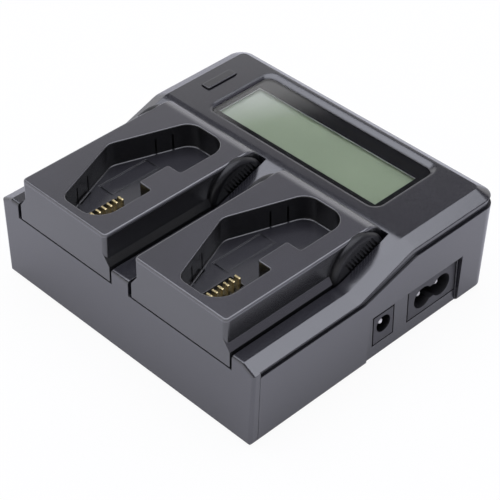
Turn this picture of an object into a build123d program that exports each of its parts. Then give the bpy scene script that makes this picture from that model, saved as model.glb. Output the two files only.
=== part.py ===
from build123d import *
import os
from math import atan2, degrees, radians, sqrt, tan

os.makedirs("parts", exist_ok=True)

# Case, outside. Heights are above the underside of the case.
case_width = 120.5
case_depth = 111.4
case_wall = 2.2
rail_height = 32.0
deck_height = 39.8
deck_wall = 3.2
ramp_length = 23.0
deck_length = 41.8
ramp_bend_radius = 9.0
edge_inset_side = 5.4
edge_inset_rear = 4.1
edge_drop = 2.7
corner_radius = 6.0
corner_radius_top = 2.0
side_draft = 2.7
front_lean = 1.5
front_edge_radius = 1.2
base_edge = 0.8
base_edge_angle = 45.0
part_clearance = 0.15

# Parting line between the lower case and the upper cover
front_wrap = 3.5
part_front_height = 27.6
part_rear_height = 34.4
part_ramp_offset = 2.5
reveal_depth = 0.9
reveal_overlap = 0.25
rib_depth = 1.5
rib_gap = 0.2

# Feet and case screws
foot_diameter = 10.0
foot_proud = 1.0
foot_recess = 0.8
foot_fit = 0.15
foot_side_inset = 14.25
foot_end_inset = 20.7
screw_shank = 3.0
screw_head = 5.6
screw_head_height = 2.0
screw_sink = 1.0
screw_bite = 8.0
thread_fit = 0.03
hole_clearance = 0.2
post_diameter = 6.4
boss_diameter = 8.0
boss_height = 3.0
front_boss_side_inset = 22.25
front_boss_inset = 12.0
rear_boss_side_inset = 8.25
rear_boss_inset = 8.0

# Pockets for the plates
outer_rail_width = 9.95
middle_rail_width = 8.6
pocket_left_room = 0.8
pocket_rear_inset = 42.5
pocket_floor_height = 26.3

# Battery plates
plate_clearance = 0.15
plate_rear_gap = 0.5
plate_block_gap = 2.5
plate_skirt_gap = 0.9
plate_height = 17.55
skirt_height = 6.2
flare_height = 2.2
plate_roll_radius = 7.5
plate_roll_run = 6.6
plate_corner_radius = 1.6
plate_edge_radius = 0.8
plate_foot_edge = 0.5
plate_wall = 1.8
well_depth = 9.2
well_floor = 1.8
well_right = 13.0
well_rear_inset = 7.1
well_front_inset = 4.6
well_rear_left = -4.9
well_side_left = -15.2
well_front_left = -3.9
well_side_setback = 33.6
well_rear_right_radius = 7.0
well_rear_left_radius = 6.0
well_side_radius = 5.0
well_front_left_radius = 4.0
well_front_right_radius = 8.0
well_edge_radius = 0.4
well_floor_radius = 0.5
shelf_width = 5.9
shelf_length = 12.7
shelf_setback = 27.1
shelf_corner = 0.8
label_width = 7.1
label_length = 21.0
label_left = -9.6
label_setback = 23.5
label_line = 0.6
label_depth = 0.4
tab_slit = 0.6
tab_slit_depth = 1.2
tab_slit_height = 6.5
rear_tab_length = 6.2
rear_tab_share = 0.66
front_tab_length = 7.0
front_tab_share = 0.4
tab_foot_gap = 0.8

# Contact blades in each well
blade_count = 6
blade_pitch = 2.36
blade_width = 2.6
blade_thickness = 0.7
blade_corner = 0.4
blade_rise = 3.0
blade_root = 3.0
blade_offset = 3.1
blade_front_inset = 10.5
blade_slot_margin = 0.7
blade_slot_left = 2.9
blade_fit = 0.03
contact_block_lip = 1.2

# Finger grips at the sides of each plate
grip_radius = 12.2
grip_gap = 0.3
grip_setback = 11.4
grip_edge_radius = 2.0
grip_grooves = 10
grip_groove_pitch = 1.35
grip_groove_length = 5.2
grip_groove_width = 0.7
grip_groove_depth = 0.5
grip_groove_rise = 5.9
grip_groove_slant = 19.0
grip_seat = 0.8
grip_fit = 0.05

# Plate bottom cover and its screws
plate_cover_thickness = 2.0
plate_boss_diameter = 5.0
plate_boss_side_inset = 3.7
plate_boss_end_inset = 5.7
plate_screw_shank = 1.8
plate_screw_head = 3.6
plate_screw_head_height = 1.2
plate_screw_bite = 3.0
cover_fit = 0.08

# Dock connector in each pocket floor, and the pads under the plate
dock_pins = 4
dock_pitch = 3.0
dock_width = 14.0
dock_depth = 5.0
dock_height = 5.0
dock_flange = 1.2
dock_fit = 0.08
dock_setback = 16.0
dock_pin_diameter = 1.4
dock_pin_tail = 2.0
pad_width = 2.0
pad_length = 4.0
pad_thickness = 0.8

# Display
display_side_inset = 20.85
display_depth = 31.4
display_rear_inset = 5.4
display_recess = 1.0
bevel_side = 0.8
bevel_front = 0.6
bevel_rear = 2.2
display_corner = 4.0
window_thickness = 1.0
bond_gap = 0.05
bezel_thickness = 0.4
window_fit = 0.08
ledge_width = 1.2
view_side_margin = 2.3
view_depth = 19.5
view_front_margin = 2.6
panel_margin = 1.0
panel_thickness = 2.4
backlight_thickness = 3.0
display_board_thickness = 1.6
display_board_margin = 2.7
display_board_depth = 24.0
display_boss_diameter = 5.0
display_boss_gap = 2.6
display_boss_inset = 2.6

# Push button and its switch
button_width = 3.7
button_length = 13.4
button_proud = 0.7
button_gap = 0.3
button_side_inset = 11.95
button_setback = 19.5
button_flange = 1.0
button_flange_margin = 1.2
button_travel = 0.5
button_rest_gap = 0.1
switch_body = 6.0
switch_stem = 3.4
switch_stem_height = 0.4

# Socket recess in the right wall
recess_rear_inset = 15.4
recess_length = 44.2
recess_height = 19.8
recess_inset = 2.85
socket_gap = 0.5
socket_height_above_base = 5.1

# Mains inlet
inlet_width = 22.9
inlet_height = 12.0
inlet_length = 18.0
inlet_end_gap = 0.8
inlet_well = 12.0
lobe_radius = 4.15
lobe_spacing = 9.0
waist_height = 5.0
pin_spacing = 8.6
pin_diameter = 2.4
pin_length = 10.0
pin_root = 3.0

# DC jack
jack_width = 9.1
jack_height = 11.2
jack_length = 13.0
jack_end_gap = 4.1
jack_bore = 6.4
jack_bore_depth = 9.5
jack_pin_diameter = 2.1
jack_pin_length = 8.5
jack_pin_root = 2.0
jack_rise = 6.6

# Main board and what stands on it
board_thickness = 1.6
board_left_inset = 18.25
board_right_gap = 4.4
board_front_inset = 22.0
board_rear_inset = 15.0
board_boss_diameter = 5.0
board_boss_inset = 4.0
board_boss_inlet_gap = 5.4
board_screw_shank = 2.0
board_screw_head = 4.0
board_screw_head_height = 1.4
board_screw_bite = 2.0
core_width = 20.0
core_depth = 16.0
core_height = 17.0
core_leg = 5.0
coil_radius = 7.6
transformer_x = -6.0
transformer_rear_inset = 27.4
bulk_diameter = 12.5
bulk_height = 22.0
bulk_x = 22.0
bulk_rear_inset = 25.4
output_diameter = 8.0
output_height = 14.0
output_left_inset = 12.0
output_rear_inset = 45.4
can_groove = 0.4

# Places worked out from the sizes above
base_z = foot_proud
rail_z = base_z + rail_height
deck_z = base_z + deck_height
belt_z = deck_z - edge_drop
half_width = case_width / 2
front_y = -case_depth / 2
rear_y = case_depth / 2
wrap_y = front_y + front_wrap
floor_z = base_z + case_wall
ramp_end_y = rear_y - deck_length
ramp_start_y = ramp_end_y - ramp_length
part_front_z = base_z + part_front_height
part_rear_z = base_z + part_rear_height
base_draft = (belt_z - base_z) * tan(radians(side_draft))
base_edge_z = base_z + base_edge
edge_draft = (belt_z - base_edge_z) * tan(radians(side_draft))
beyond = 10.0
pocket_floor_z = base_z + pocket_floor_height
pocket_rear_y = rear_y - pocket_rear_inset
pocket_length = pocket_rear_y - front_y
pocket_width = (case_width - 2 * outer_rail_width - middle_rail_width) / 2
pocket_pitch = pocket_width + middle_rail_width
pocket_centres = {"left": -pocket_pitch / 2, "right": pocket_pitch / 2}
# each pocket has extra room at its left side, where the slot beside the plate is wider
tub_width = pocket_width + pocket_left_room
tub_centres = [centre - pocket_left_room / 2 for centre in pocket_centres.values()]
boss_top_z = floor_z + boss_height
front_boss_x = half_width - front_boss_side_inset
front_boss_y = front_y + front_boss_inset
rear_boss_x = half_width - rear_boss_side_inset
rear_boss_y = rear_y - rear_boss_inset
boss_places = [
    (-front_boss_x, front_boss_y),
    (front_boss_x, front_boss_y),
    (-rear_boss_x, rear_boss_y),
    (rear_boss_x, rear_boss_y),
]
foot_x = half_width - foot_side_inset
foot_y = case_depth / 2 - foot_end_inset


def front_face_y(z):
    """Where the leaning front wall stands at a height."""
    return front_y + (z - base_z) * tan(radians(front_lean))


def outline_face(half, rear, corner):
    """Plan outline of the case with round rear corners, run on past the front wall."""
    with BuildSketch(mode=Mode.PRIVATE) as outline:
        with BuildLine():
            far_front = front_y - beyond
            Polyline((-half, far_front), (half, far_front), (half, rear), (-half, rear), close=True)
        make_face()
        fillet(outline.vertices().group_by(Axis.Y)[-1], corner)
    return outline.sketch


def side_face(drop):
    """Side view of the case: leaning front, rail, ramp and deck, lowered by drop."""
    top_front = front_face_y(rail_z - drop)
    with BuildSketch(mode=Mode.PRIVATE) as side:
        with BuildLine():
            Polyline(
                (front_y + base_edge * tan(radians(base_edge_angle)), base_z),
                (front_face_y(base_edge_z), base_edge_z),
                (top_front, rail_z - drop),
                (ramp_start_y, rail_z - drop),
                (ramp_end_y, deck_z - drop),
                (rear_y + beyond, deck_z - drop),
                (rear_y + beyond, base_z),
                close=True,
            )
        make_face()
        ramp_middle = (ramp_start_y + ramp_end_y) / 2
        bends = side.vertices().sort_by(lambda v: abs(v.X - ramp_middle))[:2]
        fillet(bends, ramp_bend_radius)
    return side.sketch


def parting_face(gap):
    """Side view of the space of the lower case, grown by gap at the parting line."""
    with BuildSketch(mode=Mode.PRIVATE) as zone:
        with BuildLine():
            Polyline(
                (wrap_y - gap, base_z - beyond),
                (wrap_y - gap, part_front_z + gap),
                (ramp_start_y + part_ramp_offset, part_front_z + gap),
                (ramp_end_y + part_ramp_offset, part_rear_z + gap),
                (rear_y + beyond, part_rear_z + gap),
                (rear_y + beyond, base_z - beyond),
                close=True,
            )
        make_face()
    return zone.sketch


# Outer form of the closed case: drafted plan with sloped edges, cut to the side view
with BuildPart() as plan_form:
    with BuildSketch(Plane.XY.offset(belt_z)):
        add(outline_face(half_width, rear_y, corner_radius))
    extrude(amount=belt_z - base_edge_z, dir=(0, 0, -1), taper=side_draft)
    with BuildSketch(Plane.XY.offset(base_edge_z)):
        add(outline_face(half_width - edge_draft, rear_y - edge_draft, corner_radius - edge_draft))
    extrude(amount=base_edge, dir=(0, 0, -1), taper=base_edge_angle)
    with BuildSketch(Plane.XY.offset(belt_z)):
        add(outline_face(half_width, rear_y, corner_radius))
    with BuildSketch(Plane.XY.offset(deck_z)):
        add(outline_face(half_width - edge_inset_side, rear_y - edge_inset_rear, corner_radius_top))
    loft(ruled=True)

with BuildPart() as case_form:
    for x, drop in (
        (-half_width, edge_drop),
        (-half_width + edge_inset_side, 0),
        (half_width - edge_inset_side, 0),
        (half_width, edge_drop),
    ):
        with BuildSketch(Plane.YZ.offset(x)):
            add(side_face(drop))
    loft(ruled=True)
    add(plan_form.part, mode=Mode.INTERSECT)
    front_edges = case_form.edges().filter_by(lambda e: e.center().Y < wrap_y)
    fillet(front_edges.filter_by(lambda e: e.center().Z > base_z + edge_drop), front_edge_radius)

# Lower case: floor, side walls and rear wall, with the socket recess in the right wall
socket_z = base_z + socket_height_above_base
recess_plane = half_width - recess_inset
recess_rear_y = rear_y - recess_rear_inset
recess_y = recess_rear_y - recess_length / 2
inlet_y = recess_rear_y - inlet_end_gap - inlet_width / 2
jack_y = recess_rear_y - recess_length + jack_end_gap + jack_width / 2
board_left = half_width - board_left_inset
board_right = recess_plane - board_right_gap
board_bottom_z = socket_z - board_thickness
board_front_y = front_y + board_front_inset
board_rear_y = rear_y - board_rear_inset
screw_seat_z = base_z + screw_sink + screw_head_height
board_boss_places = [
    (-board_left + board_boss_inset, board_front_y + board_boss_inset),
    (board_right - board_boss_inset, board_front_y + board_boss_inset),
    (-board_left + board_boss_inset, board_rear_y - board_boss_inset),
    (recess_plane - inlet_length - board_boss_inlet_gap, board_rear_y - board_boss_inset),
]

with BuildPart() as lower_case:
    add(case_form.part)
    with BuildSketch(Plane.YZ):
        add(parting_face(0))
    extrude(amount=half_width + beyond, both=True, mode=Mode.INTERSECT)
    with BuildSketch(Plane.XY.offset(floor_z)):
        inner_half = half_width - base_draft - case_wall
        add(outline_face(inner_half, rear_y - base_draft - case_wall, corner_radius - case_wall))
    with BuildSketch(Plane.XY.offset(belt_z)):
        add(outline_face(half_width - case_wall, rear_y - case_wall, corner_radius - case_wall))
    loft(ruled=True, mode=Mode.SUBTRACT)
    # thickened wall behind the recess, the recess itself and its two cut-outs
    with BuildSketch(Plane.YZ.offset(recess_plane - case_wall)):
        with Locations((recess_y, base_z + (recess_height + case_wall) / 2)):
            Rectangle(recess_length + 2 * case_wall, recess_height + case_wall)
    extrude(amount=case_wall + part_clearance)
    with BuildSketch(Plane.YZ.offset(recess_plane)):
        with Locations((recess_y, base_z + recess_height / 2 - beyond / 2)):
            Rectangle(recess_length, recess_height + beyond)
    extrude(amount=beyond, mode=Mode.SUBTRACT)
    with BuildSketch(Plane.YZ.offset(recess_plane)):
        with Locations((inlet_y, socket_z + inlet_height / 2)):
            Rectangle(inlet_width + 2 * socket_gap, inlet_height + 2 * socket_gap)
        with Locations((jack_y, socket_z + jack_height / 2)):
            Rectangle(jack_width + 2 * socket_gap, jack_height + 2 * socket_gap)
    extrude(amount=-beyond, mode=Mode.SUBTRACT)
    # screw bosses, board bosses and the seats of the feet
    with BuildSketch(Plane.XY.offset(floor_z)):
        with Locations(*boss_places):
            Circle(boss_diameter / 2)
    extrude(amount=boss_height)
    with BuildSketch(Plane.XY.offset(floor_z)):
        with Locations(*board_boss_places):
            Circle(board_boss_diameter / 2)
    extrude(amount=board_bottom_z - floor_z)
    with BuildSketch(Plane.XY.offset(base_z)):
        with Locations(*boss_places):
            Circle(screw_shank / 2 + hole_clearance)
    extrude(amount=boss_top_z - base_z, mode=Mode.SUBTRACT)
    with BuildSketch(Plane.XY.offset(base_z)):
        with Locations(*boss_places):
            Circle(screw_head / 2 + hole_clearance)
    extrude(amount=screw_seat_z - base_z, mode=Mode.SUBTRACT)
    with BuildSketch(Plane.XY.offset(board_bottom_z)):
        with Locations(*board_boss_places):
            Circle(board_screw_shank / 2 + thread_fit)
    extrude(amount=-board_screw_bite, mode=Mode.SUBTRACT)
    with BuildSketch(Plane.XY.offset(base_z)):
        with GridLocations(2 * foot_x, 2 * foot_y, 2, 2):
            Circle(foot_diameter / 2 + foot_fit)
    extrude(amount=foot_recess, mode=Mode.SUBTRACT)
lower_case.part.label = "lower_case"
export_step(lower_case.part, "parts/lower_case.step")

# Space inside the upper cover, clear of the pocket walls
with BuildPart() as cover_space:
    with BuildSketch(Plane.YZ):
        with BuildLine():
            low_rail = rail_z - edge_drop - case_wall
            low_deck = deck_z - edge_drop - case_wall
            Polyline(
                (wrap_y, base_z - beyond),
                (wrap_y, low_rail),
                (ramp_start_y, low_rail),
                (ramp_end_y, low_deck),
                (rear_y + beyond, low_deck),
                (rear_y + beyond, base_z - beyond),
                close=True,
            )
        make_face()
    extrude(amount=half_width, both=True)
    with BuildSketch(Plane.XY.offset(base_z - beyond)):
        add(outline_face(half_width - case_wall, rear_y - case_wall, corner_radius - case_wall))
    extrude(amount=deck_height + 2 * beyond, mode=Mode.INTERSECT)
    with BuildSketch(Plane.YZ):
        with BuildLine():
            Polyline(
                (wrap_y, base_z),
                (wrap_y, rail_z - case_wall),
                (ramp_start_y, rail_z - case_wall),
                (ramp_end_y + deck_wall, deck_z - deck_wall),
                (rear_y - edge_inset_rear - case_wall, deck_z - deck_wall),
                (rear_y - edge_inset_rear - case_wall, base_z),
                close=True,
            )
        make_face()
    extrude(amount=half_width - edge_inset_side, both=True)
    for centre in tub_centres:
        with BuildSketch(Plane.XY.offset(pocket_floor_z - case_wall)):
            with Locations((centre, (front_y + pocket_rear_y + case_wall) / 2)):
                Rectangle(tub_width + 2 * case_wall, pocket_length + case_wall)
        extrude(amount=deck_height, mode=Mode.SUBTRACT)

# Narrow reveal between the sloped edge and the parting line, round both sides and the rear
with BuildPart() as reveal:
    with BuildSketch(Plane.YZ):
        add(side_face(edge_drop - reveal_overlap))
        add(parting_face(0), mode=Mode.SUBTRACT)
        with Locations((front_y, base_z)):
            Rectangle(2 * front_wrap, 4 * rail_height, mode=Mode.SUBTRACT)
    extrude(amount=half_width + beyond, both=True)
    with BuildSketch(Plane.XY.offset(belt_z)):
        add(outline_face(half_width - reveal_depth, rear_y - reveal_depth, corner_radius - reveal_depth))
    extrude(amount=belt_z - base_z, dir=(0, 0, -1), taper=side_draft, mode=Mode.SUBTRACT)
    with BuildSketch(Plane.XY.offset(belt_z)):
        add(outline_face(half_width - reveal_depth, rear_y - reveal_depth, corner_radius - reveal_depth))
    extrude(amount=edge_drop, mode=Mode.SUBTRACT)

# Upper cover: front wall, rails, ramp and deck, with the two plate pockets
display_y = rear_y - display_rear_inset - display_depth / 2
recess_floor_z = deck_z - display_recess
display_width = case_width - 2 * display_side_inset
window_width = display_width - 2 * bevel_side
window_depth = display_depth - bevel_front - bevel_rear
window_y = display_y + (bevel_front - bevel_rear) / 2
window_corner = display_corner - bevel_side
bezel_bottom_z = recess_floor_z - window_thickness - bond_gap - bezel_thickness
deck_under_z = deck_z - deck_wall
board2_top_z = deck_under_z - panel_thickness - backlight_thickness
button_y = ramp_end_y + button_setback
button_place = (button_side_inset - half_width, button_y)
display_boss_front_y = window_y - window_depth / 2 + display_boss_inset
display_boss_rear_y = display_boss_front_y + display_board_depth - 2 * display_boss_inset
display_boss_x = display_width / 2 + display_boss_gap
display_boss_places = [
    (-display_boss_x, display_boss_front_y),
    (display_boss_x, display_boss_front_y),
    (-display_boss_x, display_boss_rear_y),
    (display_boss_x, display_boss_rear_y),
]
dock_y = pocket_rear_y - dock_setback

with BuildPart() as upper_cover:
    add(case_form.part)
    with BuildSketch(Plane.YZ):
        add(parting_face(part_clearance))
    extrude(amount=half_width + beyond, both=True, mode=Mode.SUBTRACT)
    add(cover_space.part, mode=Mode.SUBTRACT)
    add(reveal.part, mode=Mode.SUBTRACT)
    # lower part of each pocket tub, and the rib behind the front wall that locates the lower case
    for centre in tub_centres:
        with BuildSketch(Plane.XY.offset(pocket_floor_z - case_wall)):
            with Locations((centre, (wrap_y + pocket_rear_y + case_wall - front_wrap / 2) / 2)):
                Rectangle(tub_width + 2 * case_wall, pocket_rear_y + case_wall - wrap_y + front_wrap / 2)
        extrude(amount=rail_z - edge_drop - pocket_floor_z)
    with BuildSketch(Plane.XY.offset(floor_z + part_clearance)):
        with Locations((0, wrap_y + (rib_depth - front_wrap / 2) / 2)):
            Rectangle(2 * (half_width - base_draft - case_wall - rib_gap), rib_depth + front_wrap / 2)
    extrude(amount=pocket_floor_z - floor_z - part_clearance)
    for centre in tub_centres:
        with BuildSketch(Plane.XY.offset(pocket_floor_z)):
            with Locations((centre, (front_y - beyond + pocket_rear_y) / 2)):
                Rectangle(tub_width, pocket_length + beyond)
        extrude(amount=deck_height, mode=Mode.SUBTRACT)
    for centre in pocket_centres.values():
        with BuildSketch(Plane.XY.offset(pocket_floor_z)):
            with Locations((centre, dock_y)):
                Rectangle(dock_width, dock_depth)
        extrude(amount=-case_wall, mode=Mode.SUBTRACT)
    # screw posts
    with BuildSketch(Plane.XY.offset(boss_top_z)):
        with Locations(*boss_places[:2]):
            Circle(post_diameter / 2)
    extrude(amount=pocket_floor_z - case_wall - boss_top_z)
    with BuildSketch(Plane.XY.offset(boss_top_z)):
        with Locations(*boss_places[2:]):
            Circle(post_diameter / 2)
    extrude(amount=deck_under_z - boss_top_z)
    with BuildSketch(Plane.XY.offset(boss_top_z)):
        with Locations(*boss_places):
            Circle(screw_shank / 2 + thread_fit)
    extrude(amount=screw_bite, mode=Mode.SUBTRACT)
    # bosses of the display board
    with BuildSketch(Plane.XY.offset(board2_top_z)):
        with Locations(*display_boss_places):
            Circle(display_boss_diameter / 2)
    extrude(amount=deck_under_z - board2_top_z)
    with BuildSketch(Plane.XY.offset(board2_top_z)):
        with Locations(*display_boss_places):
            Circle(board_screw_shank / 2 + thread_fit)
    extrude(amount=board_screw_bite, mode=Mode.SUBTRACT)
    # bevelled display recess, the seat of the window and the opening below it
    with BuildSketch(Plane.XY.offset(deck_z)):
        with Locations((0, display_y)):
            RectangleRounded(display_width, display_depth, display_corner)
    with BuildSketch(Plane.XY.offset(recess_floor_z)):
        with Locations((0, window_y)):
            RectangleRounded(window_width, window_depth, window_corner)
    loft(ruled=True, mode=Mode.SUBTRACT)
    with BuildSketch(Plane.XY.offset(recess_floor_z)):
        with Locations((0, window_y)):
            RectangleRounded(window_width, window_depth, window_corner)
    extrude(amount=bezel_bottom_z - recess_floor_z, mode=Mode.SUBTRACT)
    with BuildSketch(Plane.XY.offset(bezel_bottom_z)):
        with Locations((0, window_y)):
            Rectangle(window_width - 2 * ledge_width, window_depth - 2 * ledge_width)
    extrude(amount=-deck_wall, mode=Mode.SUBTRACT)
    # button opening
    with BuildSketch(Plane.XY.offset(deck_z)):
        with Locations(button_place):
            RectangleRounded(button_width + 2 * button_gap, button_length + 2 * button_gap, button_width / 4)
    extrude(amount=-deck_wall, mode=Mode.SUBTRACT)
upper_cover.part.label = "upper_cover"
export_step(upper_cover.part, "parts/upper_cover.step")

# Feet: rubber discs seated in the floor
with BuildPart() as foot_model:
    with BuildSketch(Plane.XY):
        Circle(foot_diameter / 2)
    extrude(amount=foot_proud + foot_recess)
    chamfer(foot_model.edges().group_by(Axis.Z)[0], foot_proud / 3)
for end, end_y in (("front", -foot_y), ("rear", foot_y)):
    for side, side_x in (("left", -foot_x), ("right", foot_x)):
        foot_name = f"{end}_{side}_foot"
        with BuildPart() as foot:
            add(Pos(side_x, end_y, 0) * foot_model.part)
        foot.part.label = foot_name
        export_step(foot.part, f"parts/{foot_name}.step")

# Case screws, driven from below into the posts of the cover
with BuildPart() as case_screws:
    with BuildSketch(Plane.XY.offset(screw_seat_z)):
        with Locations(*boss_places):
            Circle(screw_head / 2)
            RegularPolygon(screw_shank / 2, 6, mode=Mode.SUBTRACT)
    extrude(amount=-screw_head_height)
    with BuildSketch(Plane.XY.offset(screw_seat_z - screw_head_height / 2)):
        with Locations(*boss_places):
            Circle(screw_shank / 2)
    extrude(amount=screw_head_height / 2 + boss_top_z - screw_seat_z + screw_bite)
case_screws.part.label = "case_screws"
export_step(case_screws.part, "parts/case_screws.step")

# Main board
with BuildPart() as main_board:
    with BuildSketch(Plane.XY.offset(board_bottom_z)):
        with Locations(((board_right - board_left) / 2, (board_front_y + board_rear_y) / 2)):
            Rectangle(board_left + board_right, board_rear_y - board_front_y)
        with Locations(*board_boss_places):
            Circle(board_screw_shank / 2 + hole_clearance, mode=Mode.SUBTRACT)
    extrude(amount=board_thickness)
main_board.part.label = "main_board"
export_step(main_board.part, "parts/main_board.step")

with BuildPart() as board_screws:
    with BuildSketch(Plane.XY.offset(socket_z)):
        with Locations(*board_boss_places):
            Circle(board_screw_head / 2)
    extrude(amount=board_screw_head_height)
    with BuildSketch(Plane.XY.offset(socket_z)):
        with Locations(*board_boss_places):
            Circle(board_screw_shank / 2)
    extrude(amount=-board_thickness - board_screw_bite)
board_screws.part.label = "board_screws"
export_step(board_screws.part, "parts/board_screws.step")

# Transformer: a squared core round the coil
transformer_y = rear_y - transformer_rear_inset
with BuildPart() as transformer_core:
    with BuildSketch(Plane((transformer_x, transformer_y + core_depth / 2, socket_z), (1, 0, 0), (0, 1, 0))):
        with Locations((0, -core_height / 2)):
            Rectangle(core_width + 2 * core_leg, core_height)
            Rectangle(core_width, core_height - 2 * core_leg, mode=Mode.SUBTRACT)
    extrude(amount=-core_depth)
transformer_core.part.label = "transformer_core"
export_step(transformer_core.part, "parts/transformer_core.step")

with BuildPart() as transformer_coil:
    coil_start = (transformer_x - core_width / 2, transformer_y, socket_z + core_height / 2)
    with BuildSketch(Plane(coil_start, (0, 1, 0), (1, 0, 0))):
        RectangleRounded(2 * coil_radius, core_height - 2 * core_leg, core_leg / 2)
    extrude(amount=core_width)
transformer_coil.part.label = "transformer_coil"
export_step(transformer_coil.part, "parts/transformer_coil.step")

# Capacitors: cans with a rolled groove near the foot
output_x = output_left_inset - board_left
for can_name, can_x, can_y, can_diameter, can_height in (
    ("bulk_capacitor", bulk_x, rear_y - bulk_rear_inset, bulk_diameter, bulk_height),
    ("output_capacitor", output_x, rear_y - output_rear_inset, output_diameter, output_height),
):
    with BuildPart() as capacitor:
        with BuildSketch(Plane((can_x, can_y, socket_z), (1, 0, 0), (0, -1, 0))):
            with BuildLine():
                Polyline(
                    (0, 0),
                    (can_diameter / 2, 0),
                    (can_diameter / 2, 3 * can_groove),
                    (can_diameter / 2 - can_groove, 4 * can_groove),
                    (can_diameter / 2, 5 * can_groove),
                    (can_diameter / 2, can_height - can_groove),
                    (can_diameter / 2 - can_groove, can_height),
                    (0, can_height),
                    close=True,
                )
            make_face()
        revolve(axis=Axis((can_x, can_y, 0), (0, 0, 1)))
    capacitor.part.label = can_name
    export_step(capacitor.part, f"parts/{can_name}.step")

# Mains inlet: figure-8 well in a block on the board, with two pins
inlet_plane = Plane((recess_plane, inlet_y, socket_z + inlet_height / 2), (0, 1, 0), (1, 0, 0))
with BuildPart() as mains_inlet:
    with BuildSketch(inlet_plane):
        Rectangle(inlet_width, inlet_height)
    extrude(amount=-inlet_length)
    with BuildSketch(inlet_plane):
        with Locations((-lobe_spacing / 2, 0), (lobe_spacing / 2, 0)):
            Circle(lobe_radius)
        Rectangle(lobe_spacing, waist_height)
    extrude(amount=-inlet_well, mode=Mode.SUBTRACT)
    with BuildSketch(inlet_plane.offset(-inlet_well)):
        with Locations((-pin_spacing / 2, 0), (pin_spacing / 2, 0)):
            Circle(pin_diameter / 2 + thread_fit)
    extrude(amount=-pin_root, mode=Mode.SUBTRACT)
mains_inlet.part.label = "mains_inlet"
export_step(mains_inlet.part, "parts/mains_inlet.step")

with BuildPart() as mains_pins:
    with BuildSketch(inlet_plane.offset(-inlet_well - pin_root)):
        with Locations((-pin_spacing / 2, 0), (pin_spacing / 2, 0)):
            Circle(pin_diameter / 2)
    extrude(amount=pin_root + pin_length)
    chamfer(mains_pins.edges().group_by(Axis.X)[-1], pin_diameter / 5)
mains_pins.part.label = "mains_pins"
export_step(mains_pins.part, "parts/mains_pins.step")

# DC jack: block with a round bore and a centre pin
jack_plane = Plane((recess_plane, jack_y, socket_z + jack_height / 2), (0, 1, 0), (1, 0, 0))
jack_bore_plane = Plane((recess_plane, jack_y, socket_z + jack_rise), (0, 1, 0), (1, 0, 0))
with BuildPart() as dc_jack:
    with BuildSketch(jack_plane):
        Rectangle(jack_width, jack_height)
    extrude(amount=-jack_length)
    with BuildSketch(jack_bore_plane):
        Circle(jack_bore / 2)
    extrude(amount=-jack_bore_depth, mode=Mode.SUBTRACT)
    with BuildSketch(jack_bore_plane.offset(-jack_bore_depth)):
        Circle(jack_pin_diameter / 2 + thread_fit)
    extrude(amount=-jack_pin_root, mode=Mode.SUBTRACT)
dc_jack.part.label = "dc_jack"
export_step(dc_jack.part, "parts/dc_jack.step")

with BuildPart() as dc_jack_pin:
    with BuildSketch(jack_bore_plane.offset(-jack_bore_depth - jack_pin_root)):
        Circle(jack_pin_diameter / 2)
    extrude(amount=jack_pin_root + jack_pin_length)
    fillet(dc_jack_pin.edges().group_by(Axis.X)[-1], jack_pin_diameter / 3)
dc_jack_pin.part.label = "dc_jack_pin"
export_step(dc_jack_pin.part, "parts/dc_jack_pin.step")

# Display: clear window, its black border, the panel, the backlight and their board
with BuildPart() as display_window:
    with BuildSketch(Plane.XY.offset(recess_floor_z)):
        with Locations((0, window_y)):
            RectangleRounded(window_width - 2 * window_fit, window_depth - 2 * window_fit, window_corner)
    extrude(amount=-window_thickness)
display_window.part.label = "display_window"
export_step(display_window.part, "parts/display_window.step")

view_y = window_y - window_depth / 2 + view_front_margin + view_depth / 2
with BuildPart() as display_bezel:
    with BuildSketch(Plane.XY.offset(bezel_bottom_z)):
        with Locations((0, window_y)):
            RectangleRounded(window_width - 2 * window_fit, window_depth - 2 * window_fit, window_corner)
        with Locations((0, view_y)):
            Rectangle(window_width - 2 * view_side_margin, view_depth, mode=Mode.SUBTRACT)
    extrude(amount=bezel_thickness)
display_bezel.part.label = "display_bezel"
export_step(display_bezel.part, "parts/display_bezel.step")

panel_width = window_width - 2 * ledge_width + 2 * panel_margin
panel_depth = window_depth - 2 * ledge_width + 2 * panel_margin
with BuildPart() as display_panel:
    with BuildSketch(Plane.XY.offset(deck_under_z)):
        with Locations((0, window_y)):
            Rectangle(panel_width, panel_depth)
    extrude(amount=-panel_thickness)
display_panel.part.label = "display_panel"
export_step(display_panel.part, "parts/display_panel.step")

with BuildPart() as display_backlight:
    with BuildSketch(Plane.XY.offset(board2_top_z)):
        with Locations((0, window_y)):
            Rectangle(panel_width, panel_depth)
    extrude(amount=backlight_thickness)
display_backlight.part.label = "display_backlight"
export_step(display_backlight.part, "parts/display_backlight.step")

display_board_y = display_boss_front_y - display_boss_inset + display_board_depth / 2
display_board_left = -button_place[0] + switch_body / 2 + display_board_margin
display_board_right = display_boss_x + display_board_margin
with BuildPart() as display_board:
    with BuildSketch(Plane.XY.offset(board2_top_z)):
        with Locations(((display_board_right - display_board_left) / 2, display_board_y)):
            Rectangle(display_board_left + display_board_right, display_board_depth)
        with Locations(*display_boss_places):
            Circle(board_screw_shank / 2 + hole_clearance, mode=Mode.SUBTRACT)
    extrude(amount=-display_board_thickness)
display_board.part.label = "display_board"
export_step(display_board.part, "parts/display_board.step")

with BuildPart() as display_screws:
    with BuildSketch(Plane.XY.offset(board2_top_z - display_board_thickness)):
        with Locations(*display_boss_places):
            Circle(board_screw_head / 2)
    extrude(amount=-board_screw_head_height)
    with BuildSketch(Plane.XY.offset(board2_top_z - display_board_thickness)):
        with Locations(*display_boss_places):
            Circle(board_screw_shank / 2)
    extrude(amount=display_board_thickness + board_screw_bite)
display_screws.part.label = "display_screws"
export_step(display_screws.part, "parts/display_screws.step")

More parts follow.
